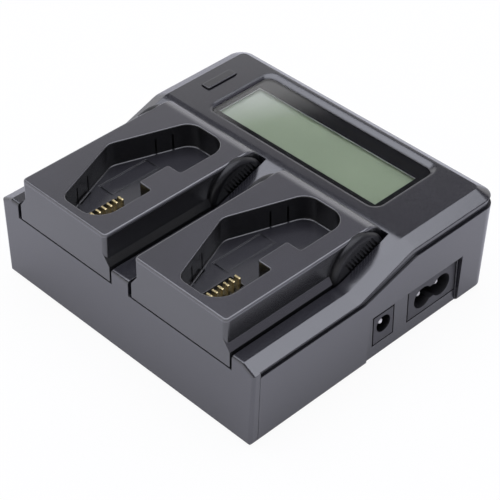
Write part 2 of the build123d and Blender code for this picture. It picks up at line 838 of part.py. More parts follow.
# Push button: long cap with a flange under the deck, above a key switch on the display board
button_flange_top_z = deck_under_z - button_rest_gap
with BuildPart() as mode_button:
    with BuildSketch(Plane.XY.offset(button_flange_top_z)):
        with Locations(button_place):
            RectangleRounded(button_width, button_length, button_width / 5)
    extrude(amount=deck_z + button_proud - button_flange_top_z)
    fillet(mode_button.edges().group_by(Axis.Z)[-1], button_proud / 2)
    with BuildSketch(Plane.XY.offset(button_flange_top_z)):
        with Locations(button_place):
            Rectangle(button_width + 2 * button_flange_margin, button_length + 2 * button_flange_margin)
    extrude(amount=-button_flange)
mode_button.part.label = "mode_button"
export_step(mode_button.part, "parts/mode_button.step")

switch_top_z = button_flange_top_z - button_flange - button_travel - button_rest_gap
with BuildPart() as key_switch:
    with BuildSketch(Plane.XY.offset(board2_top_z)):
        with Locations(button_place):
            Rectangle(switch_body, switch_body)
    extrude(amount=switch_top_z - switch_stem_height - board2_top_z)
    with BuildSketch(Plane.XY.offset(switch_top_z)):
        with Locations(button_place):
            Circle(switch_stem / 2)
    extrude(amount=-switch_stem_height)
key_switch.part.label = "key_switch"
export_step(key_switch.part, "parts/key_switch.step")

# Battery plate: a block with a skirt below and finger grips at its sides, lifted out along the pocket
plate_bottom_z = pocket_floor_z + plate_clearance
plate_top_z = plate_bottom_z + plate_height
plate_rear_y = pocket_rear_y - plate_rear_gap
plate_length = plate_rear_y - front_y
block_half = pocket_width / 2 - plate_block_gap
skirt_half = pocket_width / 2 - plate_skirt_gap
skirt_top_z = plate_bottom_z + skirt_height
flare_top_z = skirt_top_z + flare_height
well_floor_z = plate_top_z - well_depth
hollow_top_z = well_floor_z - well_floor
hollow_half = block_half - plate_wall
hollow_front_y = front_face_y(plate_top_z) + plate_wall
hollow_rear_y = plate_rear_y - plate_wall
hollow_y = (hollow_front_y + hollow_rear_y) / 2
hollow_length = hollow_rear_y - hollow_front_y
plate_cover_top_z = plate_bottom_z + plate_cover_thickness
plate_boss_x = hollow_half - plate_boss_side_inset
plate_boss_front_y = front_y + plate_boss_end_inset
plate_boss_rear_y = plate_rear_y - plate_boss_end_inset
plate_boss_places = [
    (-plate_boss_x, plate_boss_front_y),
    (plate_boss_x, plate_boss_front_y),
    (-plate_boss_x, plate_boss_rear_y),
    (plate_boss_x, plate_boss_rear_y),
]

with BuildPart() as plate_form:
    with BuildSketch(Plane((0, front_y - beyond, 0), (1, 0, 0), (0, -1, 0))):
        with BuildLine():
            Polyline(
                (-skirt_half, plate_bottom_z),
                (skirt_half, plate_bottom_z),
                (skirt_half, skirt_top_z),
                (block_half, flare_top_z),
                (block_half, plate_top_z),
                (-block_half, plate_top_z),
                (-block_half, flare_top_z),
                (-skirt_half, skirt_top_z),
                close=True,
            )
        make_face()
    extrude(amount=-plate_length - 2 * beyond)
    with BuildSketch(Plane.YZ):
        with BuildLine():
            foot_edge_z = plate_bottom_z + plate_foot_edge
            front_foot = (front_face_y(foot_edge_z), foot_edge_z)
            front_line = Line(front_foot, (front_face_y(plate_top_z), plate_top_z))
            top_line = Line(front_line @ 1, (plate_rear_y - plate_roll_run, plate_top_z))
            roll_drop = plate_roll_radius - sqrt(plate_roll_radius**2 - plate_roll_run**2)
            roll_arc = TangentArc(top_line @ 1, (plate_rear_y, plate_top_z - roll_drop), tangent=(1, 0))
            rear_line = Line(roll_arc @ 1, (plate_rear_y, plate_bottom_z))
            foot_line = Line(rear_line @ 1, (front_foot[0] + plate_foot_edge, plate_bottom_z))
            Line(foot_line @ 1, front_line @ 0)
        make_face()
    extrude(amount=case_width, both=True, mode=Mode.INTERSECT)
    front_uprights = plate_form.edges().filter_by(
        lambda e: e.center().Y < front_y + case_wall and abs(e.center().X) > block_half / 2
    )
    fillet(front_uprights.filter_by(lambda e: e.center().Z > flare_top_z), plate_corner_radius)
    top_edges = plate_form.faces().sort_by(Axis.Z)[-1].outer_wire().edges()
    flat_end_y = plate_rear_y - plate_roll_run
    fillet(top_edges.filter_by(lambda e: e.center().Y < flat_end_y - plate_edge_radius), plate_edge_radius)

# Well: a five-sided hollow, wider in the middle, with a shelf left standing at its right side
well_front_y = front_y + well_front_inset
well_rear_y = plate_rear_y - well_rear_inset
well_side_y = front_y + well_side_setback
shelf_y = front_y + shelf_setback + shelf_length / 2
shelf_left = well_right - shelf_width
well_corners = [
    ((well_right, well_rear_y), well_rear_right_radius),
    ((well_rear_left, well_rear_y), well_rear_left_radius),
    ((well_side_left, well_side_y), well_side_radius),
    ((well_front_left, well_front_y), well_front_left_radius),
    ((well_right, well_front_y), well_front_right_radius),
]
with BuildSketch() as well_outline:
    with BuildLine():
        Polyline(*[corner for corner, radius in well_corners], close=True)
    make_face()
    for corner, radius in well_corners:
        fillet(well_outline.vertices().sort_by_distance((corner[0], corner[1], 0))[0], radius)
    with Locations((well_right - shelf_width / 2, shelf_y)):
        Rectangle(shelf_width, shelf_length, mode=Mode.SUBTRACT)
    shelf_reach = shelf_length / 2 + shelf_corner
    shelf_vertices = well_outline.vertices().filter_by(lambda v: abs(v.Y - shelf_y) < shelf_reach)
    fillet(shelf_vertices.filter_by(lambda v: v.X > shelf_left - shelf_corner), shelf_corner)

blade_first_y = front_y + blade_front_inset
blade_span = (blade_count - 1) * blade_pitch
blade_mid_y = blade_first_y + blade_span / 2
slot_width = blade_slot_left + blade_width + blade_slot_margin
slot_length = blade_span + blade_thickness + 2 * blade_slot_margin
slot_x = blade_offset + (blade_slot_margin - blade_slot_left) / 2
blade_places = [(blade_offset, blade_first_y + n * blade_pitch) for n in range(blade_count)]
grip_y = plate_rear_y - grip_setback
grip_z = plate_top_z - grip_radius


def wall_place(start, end, share):
    """Place part of the way along a slanting wall of the well, turned to run along it."""
    run = end[0] - start[0]
    rise = end[1] - start[1]
    return Location((start[0] + share * run, start[1] + share * rise), degrees(atan2(rise, run)))


side_corner = (well_side_left, well_side_y)
rear_tab_place = wall_place(side_corner, (well_rear_left, well_rear_y), rear_tab_share)
front_tab_place = wall_place((well_front_left, well_front_y), side_corner, front_tab_share)
tabs = ((rear_tab_place, rear_tab_length), (front_tab_place, front_tab_length))

with BuildPart() as plate_shell:
    add(plate_form.part)
    with BuildSketch(Plane.XY.offset(well_floor_z)):
        add(well_outline.sketch)
    extrude(amount=well_depth + beyond, mode=Mode.SUBTRACT)
    well_rim = plate_shell.faces().sort_by(Axis.Z)[-1].inner_wires()[0].edges()
    fillet(well_rim, well_edge_radius)
    well_bed = plate_shell.faces().filter_by(Axis.Z).sort_by_distance((0, blade_mid_y, well_floor_z))[0]
    fillet(well_bed.outer_wire().edges(), well_floor_radius)
    # springy tabs cut free in two of the walls, and the slot along the foot of the front one
    with BuildSketch(Plane.XY.offset(well_floor_z)):
        for tab_place, tab_length in tabs:
            with Locations(tab_place):
                with Locations((-tab_length / 2, 0), (tab_length / 2, 0)):
                    Rectangle(tab_slit, 2 * tab_slit_depth)
    extrude(amount=tab_slit_height, mode=Mode.SUBTRACT)
    with BuildSketch(Plane.XY.offset(well_floor_z)):
        with Locations(front_tab_place):
            with Locations((0, -tab_foot_gap)):
                Rectangle(front_tab_length, tab_slit)
    extrude(amount=-well_floor / 2, mode=Mode.SUBTRACT)
    # plain sunk frame on the floor of the well
    with BuildSketch(Plane.XY.offset(well_floor_z)):
        with Locations((label_left + label_width / 2, front_y + label_setback + label_length / 2)):
            Rectangle(label_width, label_length)
            Rectangle(label_width - 2 * label_line, label_length - 2 * label_line, mode=Mode.SUBTRACT)
    extrude(amount=-label_depth, mode=Mode.SUBTRACT)
    # hollow underside with its screw bosses
    with BuildSketch(Plane.XY.offset(plate_bottom_z)):
        with Locations((0, hollow_y)):
            Rectangle(2 * hollow_half, hollow_length)
    extrude(amount=hollow_top_z - plate_bottom_z, mode=Mode.SUBTRACT)
    with BuildSketch(Plane.XY.offset(plate_cover_top_z)):
        with Locations(*plate_boss_places):
            Circle(plate_boss_diameter / 2)
    extrude(amount=hollow_top_z - plate_cover_top_z)
    with BuildSketch(Plane.XY.offset(plate_cover_top_z)):
        with Locations(*plate_boss_places):
            Circle(plate_screw_shank / 2 + thread_fit)
    extrude(amount=plate_screw_bite, mode=Mode.SUBTRACT)
    # slot of the contact blades and the seats of the grips
    with BuildSketch(Plane.XY.offset(hollow_top_z)):
        with Locations((slot_x, blade_mid_y)):
            Rectangle(slot_width, slot_length)
    extrude(amount=well_floor, mode=Mode.SUBTRACT)
    for direction in (-1, 1):
        with BuildSketch(Plane.YZ.offset(direction * (block_half - grip_seat))):
            with Locations((grip_y, grip_z)):
                Circle(grip_radius + grip_fit)
        extrude(amount=direction * beyond, mode=Mode.SUBTRACT)

with BuildPart() as plate_cover:
    with BuildSketch(Plane.XY.offset(plate_bottom_z)):
        with Locations((0, hollow_y)):
            Rectangle(2 * (hollow_half - cover_fit), hollow_length - 2 * cover_fit)
        with Locations(*plate_boss_places):
            Circle(plate_screw_shank / 2 + hole_clearance, mode=Mode.SUBTRACT)
    extrude(amount=plate_cover_thickness)
    with BuildSketch(Plane.XY.offset(plate_bottom_z)):
        with Locations(*plate_boss_places):
            Circle(plate_screw_head / 2 + hole_clearance)
    extrude(amount=plate_screw_head_height, mode=Mode.SUBTRACT)
    with BuildSketch(Plane.XY.offset(plate_bottom_z)):
        with Locations((0, dock_y)):
            with GridLocations(dock_pitch, 1, dock_pins, 1):
                Rectangle(pad_width + 2 * thread_fit, pad_length + 2 * thread_fit)
    extrude(amount=pad_thickness, mode=Mode.SUBTRACT)

with BuildPart() as plate_screws:
    with BuildSketch(Plane.XY.offset(plate_bottom_z)):
        with Locations(*plate_boss_places):
            Circle(plate_screw_head / 2)
    extrude(amount=plate_screw_head_height)
    with BuildSketch(Plane.XY.offset(plate_bottom_z)):
        with Locations(*plate_boss_places):
            Circle(plate_screw_shank / 2)
    extrude(amount=plate_cover_thickness + plate_screw_bite)

with BuildPart() as plate_pads:
    with BuildSketch(Plane.XY.offset(plate_bottom_z)):
        with Locations((0, dock_y)):
            with GridLocations(dock_pitch, 1, dock_pins, 1):
                Rectangle(pad_width, pad_length)
    extrude(amount=pad_thickness)

# Contact block standing on the plate cover, and one flat blade with its top corners rounded
blade_bottom_z = hollow_top_z - blade_root
with BuildPart() as contact_block:
    with BuildSketch(Plane.XY.offset(plate_cover_top_z)):
        with Locations((slot_x, blade_mid_y)):
            Rectangle(slot_width + 2 * contact_block_lip, slot_length + 2 * contact_block_lip)
    extrude(amount=hollow_top_z - plate_cover_top_z)
    with BuildSketch(Plane.XY.offset(blade_bottom_z)):
        with Locations(*blade_places):
            Rectangle(blade_width + 2 * blade_fit, blade_thickness + 2 * blade_fit)
    extrude(amount=blade_root, mode=Mode.SUBTRACT)

with BuildPart() as contact_blade:
    with BuildSketch(Plane.XZ.offset(-blade_first_y - blade_thickness / 2)):
        with Locations((blade_offset, (blade_bottom_z + well_floor_z + blade_rise) / 2)):
            Rectangle(blade_width, well_floor_z + blade_rise - blade_bottom_z)
    extrude(amount=blade_thickness)
    blade_shoulders = contact_blade.edges().filter_by(Axis.Y).group_by(Axis.Z)[-1]
    fillet(blade_shoulders, blade_corner)

# Finger grip: half a wheel at the side of the plate, with a round shoulder and a row of slanting
# grooves on its outer face, in line with the ramp
grip_inner = block_half - grip_seat
grip_outer = pocket_width / 2 - grip_gap
ramp_angle = degrees(atan2(deck_height - rail_height, ramp_length))
with BuildPart() as grip_right:
    with BuildSketch(Plane.YZ.offset(grip_inner)):
        with Locations((grip_y, grip_z)):
            Circle(grip_radius)
    extrude(amount=grip_outer - grip_inner)
    fillet(grip_right.edges().group_by(Axis.X)[-1], grip_edge_radius)
    with BuildSketch(Plane.YZ.offset(grip_outer)):
        with Locations(Location((grip_y, grip_z + grip_groove_rise), ramp_angle)):
            with GridLocations(grip_groove_pitch, 1, grip_grooves, 1):
                Rectangle(grip_groove_width, grip_groove_length, rotation=grip_groove_slant)
    extrude(amount=-grip_groove_depth, mode=Mode.SUBTRACT)
    with BuildSketch(Plane.YZ):
        with Locations((plate_rear_y - grip_radius - beyond, plate_bottom_z + grip_radius + beyond)):
            Rectangle(2 * (grip_radius + beyond), 2 * (grip_radius + beyond))
    extrude(amount=case_width, mode=Mode.INTERSECT)

for side, centre in pocket_centres.items():
    for piece, model in (
        ("plate_shell", plate_shell.part),
        ("plate_cover", plate_cover.part),
        ("plate_screws", plate_screws.part),
        ("plate_pads", plate_pads.part),
        ("contact_block", contact_block.part),
        ("plate_grip_right", grip_right.part),
        ("plate_grip_left", grip_right.part.mirror(Plane.YZ)),
    ):
        with BuildPart() as placed:
            add(Pos(centre, 0, 0) * model)
        placed.part.label = f"{side}_{piece}"
        export_step(placed.part, f"parts/{side}_{piece}.step")
    for n in range(blade_count):
        with BuildPart() as contact:
            add(Pos(centre, n * blade_pitch, 0) * contact_blade.part)
        contact.part.label = f"{side}_contact_{n + 1}"
        export_step(contact.part, f"parts/{side}_contact_{n + 1}.step")

# Dock connector under each pocket floor: a flanged block with pins level with the floor
dock_bottom_z = pocket_floor_z - dock_height
dock_flange_z = pocket_floor_z - case_wall
for side, centre in pocket_centres.items():
    with BuildPart() as dock_block:
        with BuildSketch(Plane.XY.offset(dock_bottom_z)):
            with Locations((centre, dock_y)):
                Rectangle(dock_width - 2 * dock_fit, dock_depth - 2 * dock_fit)
        extrude(amount=dock_height)
        with BuildSketch(Plane.XY.offset(dock_flange_z)):
            with Locations((centre, dock_y)):
                Rectangle(dock_width + 2 * dock_flange, dock_depth + 2 * dock_flange)
        extrude(amount=-dock_flange)
        with BuildSketch(Plane.XY.offset(dock_bottom_z)):
            with Locations((centre, dock_y)):
                with GridLocations(dock_pitch, 1, dock_pins, 1):
                    Circle(dock_pin_diameter / 2 + thread_fit)
        extrude(amount=dock_height, mode=Mode.SUBTRACT)
    dock_block.part.label = f"{side}_dock_block"
    export_step(dock_block.part, f"parts/{side}_dock_block.step")

    with BuildPart() as dock_pin_row:
        with BuildSketch(Plane.XY.offset(dock_bottom_z - dock_pin_tail)):
            with Locations((centre, dock_y)):
                with GridLocations(dock_pitch, 1, dock_pins, 1):
                    Circle(dock_pin_diameter / 2)
        extrude(amount=dock_height + dock_pin_tail)
    dock_pin_row.part.label = f"{side}_dock_pins"
    export_step(dock_pin_row.part, f"parts/{side}_dock_pins.step")
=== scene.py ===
import bpy
import math
from mathutils import Matrix, Vector


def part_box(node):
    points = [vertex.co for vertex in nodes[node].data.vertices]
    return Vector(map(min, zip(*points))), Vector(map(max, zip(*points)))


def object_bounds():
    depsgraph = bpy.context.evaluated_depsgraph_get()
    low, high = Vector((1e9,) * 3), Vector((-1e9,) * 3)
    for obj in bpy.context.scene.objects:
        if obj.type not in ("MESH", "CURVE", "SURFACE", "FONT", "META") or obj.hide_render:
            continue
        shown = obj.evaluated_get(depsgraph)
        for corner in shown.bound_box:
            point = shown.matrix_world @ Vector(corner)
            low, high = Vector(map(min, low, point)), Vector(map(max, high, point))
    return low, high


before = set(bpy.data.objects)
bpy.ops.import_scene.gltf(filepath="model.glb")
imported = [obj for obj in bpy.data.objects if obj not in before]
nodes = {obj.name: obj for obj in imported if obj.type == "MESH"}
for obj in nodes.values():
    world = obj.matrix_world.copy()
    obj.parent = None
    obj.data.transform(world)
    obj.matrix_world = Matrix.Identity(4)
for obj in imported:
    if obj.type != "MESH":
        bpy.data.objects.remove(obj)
cad_low, cad_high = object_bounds()
mm = 0.001


# Lower case: the tub that holds the supply, with the floor, both side walls and the rear wall.
# It is injection moulded in black ABS, with a fine spark-eroded grain on every outer face,
# and four screws from below hold it to the upper cover.
def clear_material(name):
    """A new material with its node tree and its shader."""
    material = bpy.data.materials.new(name)
    material.use_nodes = True
    tree = material.node_tree
    return material, tree, tree.nodes["Principled BSDF"]


def feed(tree, socket, value):
    """Links another socket to this one, or sets it to a plain number or colour."""
    if isinstance(value, bpy.types.NodeSocket):
        tree.links.new(value, socket)
    elif socket.type == "RGBA":
        socket.default_value = (*value, 1)
    else:
        socket.default_value = value


def own_place(tree):
    """Coordinates in the piece's own frame, in metres."""
    return tree.nodes.new("ShaderNodeTexCoord").outputs["Object"]


def add_noise(tree, size_mm, detail=2.0, sharpness=0.5):
    """Noise in the piece's own coordinates, with features of about size_mm."""
    noise = tree.nodes.new("ShaderNodeTexNoise")
    noise.inputs["Scale"].default_value = 1 / (size_mm * mm)
    noise.inputs["Detail"].default_value = detail
    noise.inputs["Roughness"].default_value = sharpness
    feed(tree, noise.inputs["Vector"], own_place(tree))
    return noise.outputs["Fac"]


def spread(tree, value, low, high, from_low=0.3, from_high=0.7):
    """A value stretched to run from low to high; the range taken in suits noise."""
    ranged = tree.nodes.new("ShaderNodeMapRange")
    ranged.inputs["From Min"].default_value = from_low
    ranged.inputs["From Max"].default_value = from_high
    ranged.inputs["To Min"].default_value = low
    ranged.inputs["To Max"].default_value = high
    feed(tree, ranged.inputs["Value"], value)
    return ranged.outputs["Result"]


def blend_colours(tree, factor, first, second):
    """Colour that goes from first to second with a factor; each is a colour or a socket."""
    mix = tree.nodes.new("ShaderNodeMix")
    mix.data_type = "RGBA"
    feed(tree, mix.inputs["Factor"], factor)
    first_colour, second_colour = mix.inputs[6], mix.inputs[7]
    feed(tree, first_colour, first)
    feed(tree, second_colour, second)
    return mix.outputs[2]


def blend_values(tree, factor, first, second):
    """Number that goes from first to second with a factor; each is a number or a socket."""
    mix = tree.nodes.new("ShaderNodeMapRange")
    feed(tree, mix.inputs["Value"], factor)
    feed(tree, mix.inputs["To Min"], first)
    feed(tree, mix.inputs["To Max"], second)
    return mix.outputs["Result"]


def shade(colour, factor):
    """A colour made darker or lighter."""
    return tuple(channel * factor for channel in colour)


def add_relief(tree, height, depth_mm, edge_mm):
    """Bump of a height value, over edges that are softened as a mould leaves them."""
    edge = tree.nodes.new("ShaderNodeBevel")
    edge.samples = 6
    edge.inputs["Radius"].default_value = edge_mm * mm
    bump = tree.nodes.new("ShaderNodeBump")
    bump.inputs["Strength"].default_value = 1.0
    bump.inputs["Distance"].default_value = depth_mm * mm
    feed(tree, bump.inputs["Height"], height)
    feed(tree, bump.inputs["Normal"], edge.outputs["Normal"])
    return bump.outputs["Normal"]


def unshaded_share(tree, reach_mm, shut=0.1, clear=0.6):
    """One on open faces, falling to nought in gaps narrower than the reach; it sets where shade is painted
    into a colour.
    """
    hidden = tree.nodes.new("ShaderNodeAmbientOcclusion")
    hidden.samples = 6
    hidden.inputs["Distance"].default_value = reach_mm * mm
    return spread(tree, hidden.outputs["AO"], 0, 1, shut, clear)


plastic_ior = 1.6
cloud_mm, cloud_detail = 14, 3.0
grain_sharpness = 0.6


def moulded_plastic(
    name, colour, roughness, grain_mm=0.35, grain_depth_mm=0.02, edge_mm=0.3, mottle=0.10,
    sheen=0.5, gap_mm=1.2, gap_shut=0.1, gap_clear=0.6,
):
    """Plastic with a moulded grain, a little cloudy, with shade painted into its colour in gaps narrower than
    gap_mm.
    """
    speckle_share, speckle_gain = 0.16, 1.8
    painted_shade_gain = 0.05
    roughness_swing = 0.05
    material, tree, shader = clear_material(name)
    shader.inputs["IOR"].default_value = plastic_ior
    shader.inputs["Specular IOR Level"].default_value = sheen
    cloud = add_noise(tree, cloud_mm, detail=cloud_detail)
    grain = add_noise(tree, grain_mm, sharpness=grain_sharpness)
    dark, light = shade(colour, 1 - mottle), shade(colour, 1 + mottle)
    mottled = blend_colours(tree, spread(tree, cloud, 0, 1), dark, light)
    speckle = spread(tree, grain, 0, speckle_share)
    speckled = blend_colours(tree, speckle, mottled, shade(colour, speckle_gain))
    # Painted shade: the colour falls to near black in gaps and inner corners, where shade falls.
    unshaded = unshaded_share(tree, gap_mm, gap_shut, gap_clear)
    finish = blend_colours(tree, unshaded, shade(colour, painted_shade_gain), speckled)
    satin = spread(tree, grain, roughness - roughness_swing, roughness + roughness_swing)
    feed(tree, shader.inputs["Base Color"], finish)
    feed(tree, shader.inputs["Roughness"], satin)
    feed(tree, shader.inputs["Normal"], add_relief(tree, grain, grain_depth_mm, edge_mm))
    return material


def dress(node, material):
    """Gives a CAD node its finish."""
    for slot in nodes[node].material_slots:
        slot.material = material


case_colour = (0.014, 0.0135, 0.018)
case_finish = {"roughness": 0.21, "grain_depth_mm": 0.0014, "sheen": 1.0}
case_abs = moulded_plastic("case_abs", case_colour, **case_finish)
dress("lower_case", case_abs)

# Rubber feet: round pads seated in shallow rings of the floor and held by adhesive.
# They are cut from dense black rubber with a matt, slightly dusty face.
rubber_colour = (0.022, 0.022, 0.022)
foot_rubber = moulded_plastic(
    "foot_rubber", rubber_colour, 0.82, grain_mm=0.6, grain_depth_mm=0.03, mottle=0.25
)
for end in ("front", "rear"):
    for side in ("left", "right"):
        dress(f"{end}_{side}_foot", foot_rubber)


# Screws: cut-thread steel screws, zinc plated, that hold the case, the boards and the plates.
# The plating is dull grey with fine turning marks.
def plated_metal(name, colour, roughness):
    """Plated metal with fine marks and a patchy tarnish."""
    mark_mm, mark_depth_mm, mark_detail, mark_sharpness = 0.25, 0.006, 4.0, 0.7
    tarnish_mm, tarnish_gain = 3, 0.82
    polish_gain, scuff_gain = 0.06, 0.08
    edge_mm = 0.15
    material, tree, shader = clear_material(name)
    marks = add_noise(tree, mark_mm, detail=mark_detail, sharpness=mark_sharpness)
    tarnish = spread(tree, add_noise(tree, tarnish_mm), 0, 1)
    scuffs = spread(tree, marks, roughness - polish_gain, roughness + scuff_gain)
    feed(tree, shader.inputs["Base Color"], blend_colours(tree, tarnish, shade(colour, tarnish_gain), colour))
    feed(tree, shader.inputs["Roughness"], scuffs)
    feed(tree, shader.inputs["Normal"], add_relief(tree, marks, mark_depth_mm, edge_mm))
    shader.inputs["Metallic"].default_value = 1.0
    return material


zinc_plate = plated_metal("zinc_plate", (0.58, 0.58, 0.60), 0.38)
for screws in ("case_screws", "board_screws", "display_screws", "left_plate_screws", "right_plate_screws"):
    dress(screws, zinc_plate)


# Circuit boards: glass epoxy with a green solder mask, the copper tracks showing faintly through it.
# The main board stands on bosses in the floor and the display board hangs from the deck.
def solder_mask(name):
    """Green lacquer over a pattern of tracks."""
    tracks_per_metre, track_gap = 120, 0.03
    track_depth_mm, edge_mm = 0.03, 0.1
    material, tree, shader = clear_material(name)
    tracks = tree.nodes.new("ShaderNodeTexBrick")
    tracks.inputs["Scale"].default_value = tracks_per_metre
    tracks.inputs["Mortar Size"].default_value = track_gap
    feed(tree, tracks.inputs["Color1"], (0.012, 0.10, 0.035))
    feed(tree, tracks.inputs["Color2"], (0.015, 0.12, 0.04))
    feed(tree, tracks.inputs["Mortar"], (0.05, 0.24, 0.08))
    feed(tree, tracks.inputs["Vector"], own_place(tree))
    feed(tree, shader.inputs["Base Color"], tracks.outputs["Color"])
    feed(tree, shader.inputs["Normal"], add_relief(tree, tracks.outputs["Fac"], track_depth_mm, edge_mm))
    shader.inputs["Roughness"].default_value = 0.32
    return material


board_mask = solder_mask("board_mask")
dress("main_board", board_mask)
dress("display_board", board_mask)

# Transformer and capacitors: a sintered ferrite core round a taped winding, and two aluminium
# cans in shrunk sleeves. They are soldered to the main board.
core_colour = (0.055, 0.055, 0.058)
tape_colour = (0.62, 0.42, 0.04)
sleeve_colour = (0.02, 0.02, 0.045)
ferrite = moulded_plastic("ferrite", core_colour, 0.6, grain_mm=0.5, grain_depth_mm=0.04)
winding_tape = moulded_plastic("winding_tape", tape_colour, 0.35, grain_mm=2.0, grain_depth_mm=0.03)
can_sleeve = moulded_plastic("can_sleeve", sleeve_colour, 0.28, grain_mm=1.5, grain_depth_mm=0.01)
dress("transformer_core", ferrite)
dress("transformer_coil", winding_tape)
dress("bulk_capacitor", can_sleeve)
dress("output_capacitor", can_sleeve)

# Sockets: the figure-8 mains inlet and the round DC jack, moulded in black nylon and soldered to the
# main board, so that their faces stand level with the recess in the right wall. The dock blocks in the
# pocket floors are of the same nylon.
socket_colour = (0.055, 0.054, 0.059)
# Painted shade: the socket holes and deep hollows of this nylon are painted near black.
socket_nylon = moulded_plastic(
    "socket_nylon", socket_colour, 0.36, grain_mm=0.5, grain_depth_mm=0.004,
    sheen=0.25, gap_mm=8, gap_shut=0.45, gap_clear=0.9,
)
for socket in ("mains_inlet", "dc_jack", "left_dock_block", "right_dock_block"):
    dress(socket, socket_nylon)

# Socket pins: brass rods, nickel plated, pressed into the back of each socket.
# They are bright, with light scratches from use.
nickel = plated_metal("nickel", (0.94, 0.93, 0.91), 0.45)
dress("mains_pins", nickel)
dress("dc_jack_pin", nickel)


# Upper cover: the front wall, the rails, the ramp and the deck in one moulding, with a tub for each plate.
# It is the same grained black ABS as the lower case, and the lip round the window is well rounded.
def split(tree, vector):
    """A vector's outputs X, Y and Z."""
    parts = tree.nodes.new("ShaderNodeSeparateXYZ")
    feed(tree, parts.inputs["Vector"], vector)
    return parts.outputs


def calculate(tree, operation, first, second):
    """Result of a sum on two values; each is a number or a socket."""
    step = tree.nodes.new("ShaderNodeMath")
    step.operation = operation
    feed(tree, step.inputs[0], first)
    feed(tree, step.inputs[1], second)
    return step.outputs["Value"]


def inside_box(tree, low_mm, high_mm):
    """One inside a box in the piece's own coordinates, and nought outside it."""
    centre = [(low + high) / 2 * mm for low, high in zip(low_mm, high_mm)]
    half = [(high - low) / 2 * mm for low, high in zip(low_mm, high_mm)]
    value = own_place(tree)
    for operation, offset in (("SUBTRACT", centre), ("ABSOLUTE", None), ("SUBTRACT", half)):
        step = tree.nodes.new("ShaderNodeVectorMath")
        step.operation = operation
        feed(tree, step.inputs[0], value)
        if offset:
            feed(tree, step.inputs[1], offset)
        value = step.outputs["Vector"]
    past = split(tree, value)
    past_side = calculate(tree, "MAXIMUM", past["X"], past["Y"])
    past_any = calculate(tree, "MAXIMUM", past_side, past["Z"])
    return calculate(tree, "LESS_THAN", past_any, 0)


cover_abs = moulded_plastic("cover_abs", case_colour, **case_finish)
cover_tree = cover_abs.node_tree
lip_width, lip_below, lip_above = 4, 2, 4
plain_round, lip_round = 0.3, 1.3
window_low, window_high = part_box("display_window")
lip_low = [window_low.x / mm - lip_width, window_low.y / mm - lip_width, window_low.z / mm - lip_below]
lip_high = [window_high.x / mm + lip_width, window_high.y / mm + lip_width, window_high.z / mm + lip_above]
at_lip = inside_box(cover_tree, lip_low, lip_high)
edge_round = blend_values(cover_tree, at_lip, plain_round * mm, lip_round * mm)
for step in cover_tree.nodes:
    if step.type == "BEVEL":
        feed(cover_tree, step.inputs["Radius"], edge_round)
dress("upper_cover", cover_abs)

# Display backlight and panel: a white light guide, and over it the display glass with its polarising film.
# Unlit, the film looks pale green-grey; its far left end is painted paler, a painted reflection.
guide_colour = (0.82, 0.83, 0.80)
light_guide = moulded_plastic("light_guide", guide_colour, 0.3, grain_mm=1.2, grain_depth_mm=0.01)
dress("display_backlight", light_guide)
far_left = (-0.887, 0.463, 0)


def reach_along(tree, vector, direction):
    """How far a vector reaches along a direction."""
    product = tree.nodes.new("ShaderNodeVectorMath")
    product.operation = "DOT_PRODUCT"
    feed(tree, product.inputs[0], vector)
    feed(tree, product.inputs[1], direction)
    return product.outputs["Value"]


def display_film(name, colour, reflection_colour):
    """Film with a slight haze and a fine weave, with a painted reflection that pales it towards the far left.
    """
    haze_mm, haze_swing = 26, 0.05
    weave_mm, weave_share, weave_gain = 0.3, 0.12, 1.15
    reflection_start_mm, reflection_end_mm, reflection_share = 33, 48, 0.45
    smooth, rough = 0.08, 0.14
    material, tree, shader = clear_material(name)
    haze = spread(tree, add_noise(tree, haze_mm), 0, 1)
    weave = add_noise(tree, weave_mm, detail=1.0)
    hazy = blend_colours(tree, haze, shade(colour, 1 - haze_swing), shade(colour, 1 + haze_swing))
    woven = blend_colours(tree, spread(tree, weave, 0, weave_share), hazy, shade(colour, weave_gain))
    # Painted reflection: the colour pales towards the far left end.
    reach = reach_along(tree, own_place(tree), far_left)
    pale = spread(tree, reach, 0, reflection_share, reflection_start_mm * mm, reflection_end_mm * mm)
    feed(tree, shader.inputs["Base Color"], blend_colours(tree, pale, woven, reflection_colour))
    feed(tree, shader.inputs["Roughness"], spread(tree, weave, smooth, rough))
    shader.inputs["Specular IOR Level"].default_value = 1.0
    shader.inputs["IOR"].default_value = plastic_ior
    return material


film = display_film("display_film", (0.47, 0.56, 0.385), (0.74, 0.78, 0.74))
dress("display_panel", film)


# Display bezel and window: a pale moulded frame, printed black on top, behind a clear acrylic window.
# The window is polished on both sides and bonded into the recess of the deck.
def facing_up(tree):
    """One on level faces that look up, and nought on walls and rounded edges."""
    tilted, level = 0.985, 0.998
    surface = tree.nodes.new("ShaderNodeNewGeometry")
    upward = split(tree, surface.outputs["True Normal"])["Z"]
    return spread(tree, upward, 0, 1, tilted, level)


def printed_frame(name, print_colour, edge_colour):
    """Ink on the level faces of a pale moulding."""
    ink_mm, ink_swing = 0.4, 0.2
    smooth, rough = 0.5, 0.6
    material, tree, shader = clear_material(name)
    ink = add_noise(tree, ink_mm)
    thin, thick = shade(print_colour, 1 - ink_swing), shade(print_colour, 1 + ink_swing)
    printed = blend_colours(tree, spread(tree, ink, 0, 1), thin, thick)
    feed(tree, shader.inputs["Base Color"], blend_colours(tree, facing_up(tree), edge_colour, printed))
    feed(tree, shader.inputs["Roughness"], spread(tree, ink, smooth, rough))
    shader.inputs["Specular IOR Level"].default_value = 0.1
    return material


dress("display_bezel", printed_frame("printed_frame", (0.002, 0.002, 0.0025), (0.80, 0.80, 0.81)))


